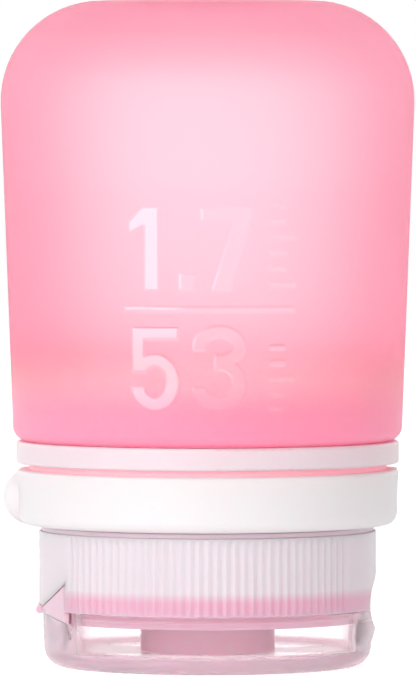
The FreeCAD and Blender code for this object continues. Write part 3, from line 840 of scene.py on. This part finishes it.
class BOTTLE_OT_silicone_body(bpy.types.Operator):
    """Hollow silicone body with its neck, flange, mouth lip and raised numbers"""

    bl_idname = "bottle.silicone_body"
    bl_label = "Silicone body"

    def execute(self, context):
        size, colours = context.scene.bottle_body, context.scene.bottle_finishes
        inner_end = size.end_radius - size.wall
        inner_foot = size.foot_radius - size.wall
        inner_floor = size.shoulder_level + size.shoulder
        shoulder = size.shoulder_level + size.touch
        flange_low = size.flange_level + size.touch
        flange_high = size.flange_level + size.flange - size.touch
        lip_low = size.mouth_level + size.touch
        lip_high = size.mouth_level + size.lip - size.touch
        line = rounded_line([
            (0, size.end_level, 0),
            (size.end_radius, size.end_level, size.end_round),
            (self.side(size, size.mark_high), size.mark_high, 0),
            (self.side(size, size.mark_low), size.mark_low, 0),
            (size.foot_radius, shoulder, size.foot_round),
            (size.neck_radius, shoulder, 0),
            (size.neck_radius, flange_high, 0),
            (size.flange_radius, flange_high, 0),
            (size.flange_radius, size.trim_end - size.touch, 0),
            (size.trim_radius, size.trim_end - size.touch, 0),
            (size.trim_radius, size.trim_shelf + size.touch, 0),
            (size.trim_inside, size.trim_shelf + size.touch, 0),
            (size.trim_inside, flange_low, 0),
            (size.neck_radius, flange_low, 0),
            (size.neck_radius, lip_high, 0),
            (size.lip_radius, lip_high, 0),
            (size.lip_radius, lip_low, 0),
            (size.neck_bore, lip_low, 0),
            (size.neck_bore, inner_floor, size.throat_round),
            (inner_foot, inner_floor, size.shoulder_round),
            (inner_end, size.end_level - size.wall, size.end_round - size.wall),
            (0, size.end_level - size.wall, 0),
        ], steps=17)
        fine = self.marked(size, (line[1:] + line[:-1]) / 2)
        line = spaced(line, np.where(fine, size.mark_step, size.mesh_step * 2))
        half = math.asin(size.mark_half / size.foot_radius)
        front = np.linspace(-half, half, 1 + round(2 * size.mark_half / size.mark_step))
        columns = round((FULL_TURN - 2 * half) * size.end_radius / size.mesh_step)
        rest = np.linspace(half, FULL_TURN - half, 2 + columns)
        angles = np.concatenate([front, rest[1:-1]])
        points = turned(line, angles)
        away = number_distance(points[..., 0] / MM, points[..., 2] / MM)
        facing = (np.cos(angles) > 0)[None, :] & self.marked(size, line)[:, None]
        polish = np.where(facing, smooth_step(0.5 - away * MM / size.mark_edge), 0)
        outward = np.stack([np.sin(angles), -np.cos(angles), np.zeros_like(angles)], -1)
        points = points + (polish * size.mark_lift)[..., None] * outward[None]
        marks = {"polish": polish, **self.milkiness(size, points)}
        mesh = turned_mesh("silicone_body", points, marks)
        add_piece("silicone_body", mesh, "bottle", silicone_finish(colours), ["bottle_body"])
        return {"FINISHED"}

    def side(self, size, level):
        """Outer radius of the wall at a level: a straight taper from the closed end to the shoulder."""
        slope = (size.end_radius - size.foot_radius) / (size.end_level - size.shoulder_level)
        return size.foot_radius + slope * (level - size.shoulder_level)

    def marked(self, size, line):
        """Which points of the line lie on the outside of the wall, at the height of the numbers."""
        radius, level = line.T
        outside = radius > size.foot_radius - size.wall / 2
        return outside & (level > size.mark_low) & (level < size.mark_high)

    def milkiness(self, size, points):
        """How deep pink and how milky the silicone is: both grow down the outside to the foot, where the
        deeper pink is painted shade and the milkiness brings the painted glow; the inside is pale and turns
        milky at its floor, and all that is below the shoulder is milky."""
        level = points[..., 2]
        below = level < size.shoulder_level
        inside = np.hypot(points[..., 0], points[..., 1]) < size.foot_radius - size.wall / 2
        # Painted shade: the outer wall turns deeper pink toward the foot
        pink = smooth_step((size.milk_level - level) / size.milk_run)
        dull = smooth_step((size.veil_level - level) / size.milk_run)
        floor = smooth_step((size.floor_level - level) / size.floor_run)
        milk_and_shade = np.where(below, size.neck_milk, np.where(inside, size.inner_milk, pink))
        veil_and_painted_glow = np.where(below, 1, np.where(inside, floor, dull))
        return {"milk_and_shade": milk_and_shade, "veil_and_painted_glow": veil_and_painted_glow}


class BOTTLE_OT_screw_cap(bpy.types.Operator):
    """Frosted cap: ribbed skirt, ledge, deck, spout and the thread inside"""

    bl_idname = "bottle.screw_cap"
    bl_label = "Screw cap"

    def execute(self, context):
        size, colours = context.scene.bottle_cap, context.scene.bottle_finishes
        hinge = context.scene.bottle_hinge
        under = size.rim_level - size.deck
        bead = (size.rim_level + under) / 2
        seat = size.spout_level + size.outlet_lip
        small = size.rim_round
        line = rounded_line([
            (size.outlet, size.spout_level, small),
            (size.spout_radius, size.spout_level, small),
            (size.spout_radius, under, small),
            (size.deck_radius, under, small),
            (size.deck_radius, bead - size.bead_height / 2, 0),
            (size.deck_radius + size.bead, bead, 0),
            (size.deck_radius, bead + size.bead_height / 2, 0),
            (size.deck_radius, size.rim_level, 0),
            (size.radius, size.rim_level, small),
            (size.radius, size.top_level, size.edge_round),
            (size.bore, size.top_level, small),
            (size.bore, size.rim_level + size.ledge, 0),
            (size.pocket, size.rim_level + size.ledge, 0),
            (size.pocket, size.rim_level, 0),
            (size.spout_bore, size.rim_level, small),
            (size.spout_bore, seat, 0),
            (size.outlet, seat, small),
        ], steps=6)
        line = np.concatenate([line, line[:1]])
        outer = (line[1:, 0] + line[:-1, 0]) / 2 > size.radius - small
        line = spaced(line, np.where(outer, size.rib_step, size.mesh_step))[:-1]
        angles, ribs = self.rib_angles(size)
        points = turned(line, angles)
        radius = np.repeat(line[:, :1], len(angles), 1)
        level = points[..., 2]
        end = smooth_step((level - size.rim_level) / size.rib_low)
        end = end * smooth_step((size.top_level - level) / size.rib_high)
        skin = smooth_step((radius - size.radius + small) / small)
        radius = radius - size.rib_depth * ribs[None, :] * end * skin
        points = scaled_radius(points, np.minimum(radius, scoop_limit(points, size)))
        skirt = turned_mesh("cap_skirt", points, ring=True)
        skirt = cut_away(skirt, [window_cutter(hinge), groove_cutter(hinge)])
        finish = frosted_finish(colours)
        add_piece("cap_shell", skirt, "cap", finish, ["screw_cap"])
        thread = bar_mesh("cap_thread", self.thread(size))
        add_piece("cap_thread", thread, "cap", finish, [])
        return {"FINISHED"}

    def rib_angles(self, size):
        """Turns of the mesh columns, close on the ribs in front and behind, and the groove's depth at each: a
        raised cosine from rib to rib, whose power makes the groove wider than the rib."""
        per_rib, plain_columns, power = 8, 28, 0.7
        pitch = FULL_TURN / size.rib_count
        count = int(math.asin(size.rib_reach / size.radius) / pitch)
        end = count * pitch
        ribbed = np.linspace(-end, end, 2 * count * per_rib + 1)
        plain = np.linspace(end, math.pi - end, plain_columns)[1:-1]
        angles = np.concatenate([ribbed, plain, ribbed + math.pi, plain + math.pi])
        groove = (0.5 - 0.5 * np.cos(ribbed / pitch * FULL_TURN)) ** power
        return angles, np.tile(np.concatenate([groove, np.zeros_like(plain)]), 2)

    def thread(self, size):
        """Thread rib inside the skirt: a trapezoid carried up a helix and sunk a little into the wall, low at
        its two ends and grown to the full between."""
        turns, per_turn = size.thread_rise / size.thread_pitch, 90
        turn = np.linspace(0, turns * FULL_TURN, int(per_turn * turns))[:, None]
        grown = smooth_step(np.minimum(turn, turn[-1] - turn) / size.thread_fade)
        full = size.thread_depth + size.thread_sink
        stand = size.thread_end + (full - size.thread_end) * grown
        radius = size.bore + size.thread_sink - stand * np.array([0, 1, 1, 0])
        half = np.array([-size.thread_root, -size.thread_crest, size.thread_crest, size.thread_root]) / 2
        level = size.thread_start + size.thread_pitch * turn / FULL_TURN + half
        where = size.thread_angle + turn
        return np.stack([radius * np.sin(where), -radius * np.cos(where), level], -1)


class BOTTLE_OT_flip_lid(bpy.types.Operator):
    """Clear lid: cup with a thumb lip, ring round the spout, boss under the valve and room for the hinge"""

    bl_idname = "bottle.flip_lid"
    bl_label = "Flip lid"

    def execute(self, context):
        size, colours = context.scene.bottle_lid, context.scene.bottle_finishes
        hinge, cap = context.scene.bottle_hinge, context.scene.bottle_cap
        small = size.rim_round
        line = rounded_line([
            (0, 0, 0),
            (size.foot_radius, 0, size.edge_round),
            (size.radius, size.height, small),
            (size.radius - size.wall, size.height, small),
            (size.foot_radius - size.wall, size.plate, size.inner_round),
            (size.ring_outer, size.plate, small),
            (size.ring_outer, size.plate + size.ring_height, small),
            (size.ring_inner, size.plate + size.ring_height, small),
            (size.ring_inner, size.plate, small),
            (size.boss_radius, size.plate, small),
            (size.boss_radius, size.plate + size.boss_height, small),
            (0, size.plate + size.boss_height, 0),
        ], steps=13)
        outer = (line[1:, 0] + line[:-1, 0]) / 2 > size.radius - size.wall / 2
        line = spaced(line, np.where(outer, size.wall_step, size.mesh_step))
        angles = round_turns(300)
        points = turned(line, angles)
        radius = np.repeat(line[:, :1], len(angles), 1)
        level = points[..., 2]
        rise = np.clip((level - size.lip_low) / (size.lip_level - size.lip_low), 0, 1)
        rise = rise * (level < size.lip_high)
        width = smooth_step((size.lip_half - np.abs(points[..., 1])) / size.lip_fade) * (points[..., 0] > 0)
        skin = radius > size.radius - size.wall / 2
        lip = np.minimum(radius + size.lip_reach * rise * width, scoop_limit(points, cap))
        points = scaled_radius(points, np.where(skin, lip, radius))
        lid = turned_mesh("lid", points, self.clouding(size, points))
        slots = [slot_cutter(hinge, size, side) for side in (-1, 1)]
        lid = cut_away(lid, [window_cutter(hinge), groove_cutter(hinge), *slots])
        add_piece("lid_shell", lid, "lid", clear_finish(colours), ["flip_lid"])
        return {"FINISHED"}

    def clouding(self, size, points):
        """How clouded and how pink the lid is, the pink being painted light that shows through from the cap
        and the silicone: most on the plug ring and boss, less on the plate's rounded edge and, by the sine of
        the turn, on the hinge side and the lip side of the wall."""
        radius = np.hypot(points[..., 0], points[..., 1])
        across = points[..., 0] / np.maximum(radius, TINY)
        level = points[..., 2]
        ring = smooth_step((size.ring_outer + size.ring_fade - radius) / size.ring_fade)
        ring = ring * (level > size.plate / 2)
        edge = smooth_step((size.edge_round - level) / size.edge_fade)
        edge = edge * (radius > size.foot_radius - size.edge_width)
        side = smooth_step((-across - size.hinge_from) / size.hinge_over)
        side = side + smooth_step((across - size.lip_from) / size.lip_over)
        places = np.stack([ring, edge, side], -1)
        cloud = (places * [size.ring_cloud, size.edge_cloud, size.side_cloud]).max(-1)
        tint = (places * [size.ring_tint, size.edge_tint, size.side_tint]).max(-1)
        return {"cloud": cloud, "tint": tint}


class BOTTLE_OT_seals(bpy.types.Operator):
    """Silicone gasket on the deck and the slit valve in the spout"""

    bl_idname = "bottle.seals"
    bl_label = "Seals"

    def execute(self, context):
        size = context.scene.bottle_seals
        finish = bpy.data.materials["pink_silicone_frosted"]
        angles = round_turns(160)
        low, high = (corner.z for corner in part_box("cap_seal"))
        low, high = low + size.touch, high - size.touch
        line = rounded_line([
            (size.outer, low, size.round_off),
            (size.outer, high, size.round_off),
            (size.inner, high, size.round_off),
            (size.inner, low, size.round_off),
        ], steps=5)
        points = turned(line, angles)
        # The gasket is milky all over, so it takes the painted glow too
        thick = {"milk_and_shade": np.full(points.shape[:2], size.gasket_milk), "veil_and_painted_glow": np.ones(points.shape[:2])}
        ring = turned_mesh("gasket", points, thick, ring=True)
        add_piece("gasket", ring, "seal", finish, ["cap_seal"])
        low, high = (corner.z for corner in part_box("slit_valve"))
        seat = high - size.valve_rim + size.touch
        low, high = low + size.touch, high - size.touch
        inner = size.valve_neck - size.valve_wall
        line = rounded_line([
            (0, low + size.valve_drop, 0),
            (inner - size.valve_wall, low, size.valve_wall),
            (size.valve_neck, low, size.valve_edge),
            (size.valve_neck, seat, 0),
            (size.valve_flange, seat, size.valve_round),
            (size.valve_flange, high, size.valve_round),
            (inner, high, size.valve_round),
            (inner, low + size.valve_wall, size.valve_round),
            (inner - size.valve_wall, low + size.valve_wall, size.valve_wall),
            (0, low + size.valve_drop + size.valve_wall, 0),
        ], steps=6)
        valve = turned_mesh("valve", turned(line, angles))
        middle = low + (size.valve_drop + size.valve_wall) / 2
        cuts = [(size.slit, size.slit_width), (size.slit_width, size.slit)]
        knives = [self.knife(size, along, across, middle) for along, across in cuts]
        valve = cut_away(valve, knives)
        add_piece("slit_valve_soft", valve, "cap", finish, ["slit_valve"])
        return {"FINISHED"}

    def knife(self, size, along, across, middle):
        """Thin upright plate for one slit: a rectangle carried up Z."""
        x = np.array([-1, 1, 1, -1])[None, :] * along / 2
        y = np.array([-1, -1, 1, 1])[None, :] * across / 2
        z = middle + np.array([-1, 1])[:, None] * 2 * size.valve_wall
        return bar_mesh("slit_knife", np.stack([x + 0 * z, y + 0 * z, z + 0 * x], -1))


class BOTTLE_OT_rigid_parts(bpy.types.Operator):
    """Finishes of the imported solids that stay"""

    bl_idname = "bottle.rigid_parts"
    bl_label = "Rigid parts"

    def execute(self, context):
        colours = context.scene.bottle_finishes
        white = white_finish(colours)
        dress_node("clamp_ring", milky_finish(colours))
        for node in ("threaded_collar", "loop_gate", "loop_pin", "valve_retainer"):
            dress_node(node, white)
        dress_node("hinge_web", hinge_finish(colours))
        return {"FINISHED"}


class BOTTLE_OT_stage(bpy.types.Operator):
    """White floor and room, softboxes and the camera of the photograph"""

    bl_idname = "bottle.stage"
    bl_label = "Stage"

    def execute(self, context):
        size, scene = context.scene.bottle_stage, context.scene
        scene.view_settings.view_transform = "Standard"
        self.room(scene, size)
        self.floor(scene, size)
        lamps = [
            ("key_softbox", size.lamp_size, size.key_angle, size.key_rise, size.key_power),
            ("front_softbox", size.lamp_size, size.front_angle, size.front_rise, size.front_power),
            ("back_softbox", size.back_size, size.back_angle, size.back_rise, size.back_power),
            ("left_softbox", size.rim_size, -size.rim_angle, size.back_rise, size.rim_power),
            ("right_softbox", size.rim_size, size.rim_angle, size.back_rise, size.right_power),
        ]
        for lamp in lamps:
            holder = self.softbox(scene, size, *lamp)
            holder.visible_glossy = holder.name != "front_softbox"
        self.camera(scene, size)
        return {"FINISHED"}

    def seen(self, tree):
        """One for rays that show the surroundings: from the camera, in gloss and through clear pieces."""
        path = tree.nodes.new("ShaderNodeLightPath").outputs
        shown = larger(tree, path["Is Camera Ray"], path["Is Glossy Ray"])
        return larger(tree, shown, path["Is Transmission Ray"])

    def room(self, scene, size):
        """White room: strength 1 where it is seen, and the fill level on matt surfaces."""
        world = bpy.data.worlds.new("white_room")
        world.use_nodes = True
        tree = world.node_tree
        background = tree.nodes["Background"]
        background.inputs["Color"].default_value = (1, 1, 1, 1)
        tree.links.new(between(tree, self.seen(tree), size.fill, 1, 0, 1), background.inputs["Strength"])
        scene.world = world

    def floor(self, scene, size):
        """Flat white floor: part of its white is light of its own, most where it is seen, and the rest takes
        the bottle's shadow."""
        half = size.floor_half
        corners = np.array([(-half, -half, 0), (half, -half, 0), (half, half, 0), (-half, half, 0)])
        mesh = bpy.data.meshes.new("floor")
        mesh.from_pydata(corners.tolist(), [], [(0, 1, 2, 3)])
        floor = bpy.data.objects.new("floor", mesh)
        scene.collection.objects.link(floor)
        material, tree, shader = new_finish("white_floor")
        mottled(tree, shader, [size.floor_white] * 3, lumps=3, detail=2, by=size.floor_mottle)
        shader.inputs["Roughness"].default_value = 0.9
        shader.inputs["Specular IOR Level"].default_value = 0.0
        shader.inputs["Emission Color"].default_value = (1, 1, 1, 1)
        through = tree.nodes.new("ShaderNodeLightPath").outputs["Is Transmission Ray"]
        shown = between(tree, self.seen(tree), size.floor_light, size.floor_seen, 0, 1)
        behind = between(tree, through, 0, size.floor_through, 0, 1)
        tree.links.new(larger(tree, shown, behind), shader.inputs["Emission Strength"])
        mesh.materials.append(material)

    def softbox(self, scene, size, name, side, turn, rise, power):
        """Square softbox turned about the bottle from the camera's side, raised and facing its middle."""
        lamp = bpy.data.lights.new(name, "AREA")
        lamp.shape = "SQUARE"
        lamp.size = side
        lamp.energy = power
        holder = bpy.data.objects.new(name, lamp)
        scene.collection.objects.link(holder)
        flat = math.cos(rise)
        toward = np.array([math.sin(turn) * flat, -math.cos(turn) * flat, math.sin(rise)])
        holder.location = toward * size.lamp_distance + np.array([0, 0, size.aim_height])
        holder.rotation_euler = (math.pi / 2 - rise, 0, turn)
        holder.visible_camera = False
        return holder

    def camera(self, scene, size):
        """Long lens on the front, a little above the middle of the bottle and tilted down to it."""
        lens = bpy.data.cameras.new("photo_camera")
        lens.sensor_fit = "AUTO"
        lens.sensor_width = 36.0
        drop = size.camera_height - size.aim_height
        reach = math.hypot(size.camera_distance, drop)
        lens.lens = lens.sensor_width * reach / size.view_height
        lens.clip_start, lens.clip_end = 0.01, 20.0
        holder = bpy.data.objects.new("photo_camera", lens)
        scene.collection.objects.link(holder)
        holder.location = (size.camera_side, -size.camera_distance, size.camera_height)
        holder.rotation_euler = (math.pi / 2 - math.atan2(drop, size.camera_distance), 0, 0)
        scene.camera = holder


class BOTTLE_PT_pieces(bpy.types.Panel):
    """Sizes, finishes and building steps of the bottle"""

    bl_idname = "BOTTLE_PT_pieces"
    bl_label = "Travel silicone bottle"
    bl_space_type = "VIEW_3D"
    bl_region_type = "UI"
    bl_category = "Bottle"

    def draw(self, context):
        for step in STEPS:
            self.layout.operator(step.bl_idname)
        for key in GROUPS:
            box = self.layout.box()
            group = getattr(context.scene, key)
            for name in group.bl_rna.properties.keys():
                if name not in ("name", "rna_type"):
                    box.prop(group, name)


GROUPS = {
    "bottle_body": BodySizes,
    "bottle_cap": CapSizes,
    "bottle_hinge": HingeSizes,
    "bottle_lid": LidSizes,
    "bottle_seals": SealSizes,
    "bottle_finishes": Finishes,
    "bottle_stage": StageSizes,
}
STEPS = (
    BOTTLE_OT_silicone_body,
    BOTTLE_OT_screw_cap,
    BOTTLE_OT_flip_lid,
    BOTTLE_OT_seals,
    BOTTLE_OT_rigid_parts,
    BOTTLE_OT_stage,
)


def register():
    """Puts the property groups, operators and panel into Blender."""
    for key, group in GROUPS.items():
        bpy.utils.register_class(group)
        setattr(bpy.types.Scene, key, bpy.props.PointerProperty(type=group))
    for step in STEPS:
        bpy.utils.register_class(step)
    bpy.utils.register_class(BOTTLE_PT_pieces)


def unregister():
    """Takes them out again."""
    bpy.utils.unregister_class(BOTTLE_PT_pieces)
    for step in reversed(STEPS):
        bpy.utils.unregister_class(step)
    for key, group in GROUPS.items():
        delattr(bpy.types.Scene, key)
        bpy.utils.unregister_class(group)


def main():
    """Builds every piece in order."""
    register()
    bpy.ops.bottle.silicone_body()
    bpy.ops.bottle.screw_cap()
    bpy.ops.bottle.flip_lid()
    bpy.ops.bottle.seals()
    bpy.ops.bottle.rigid_parts()
    bpy.ops.bottle.stage()


if __name__ == "__main__":
    main()
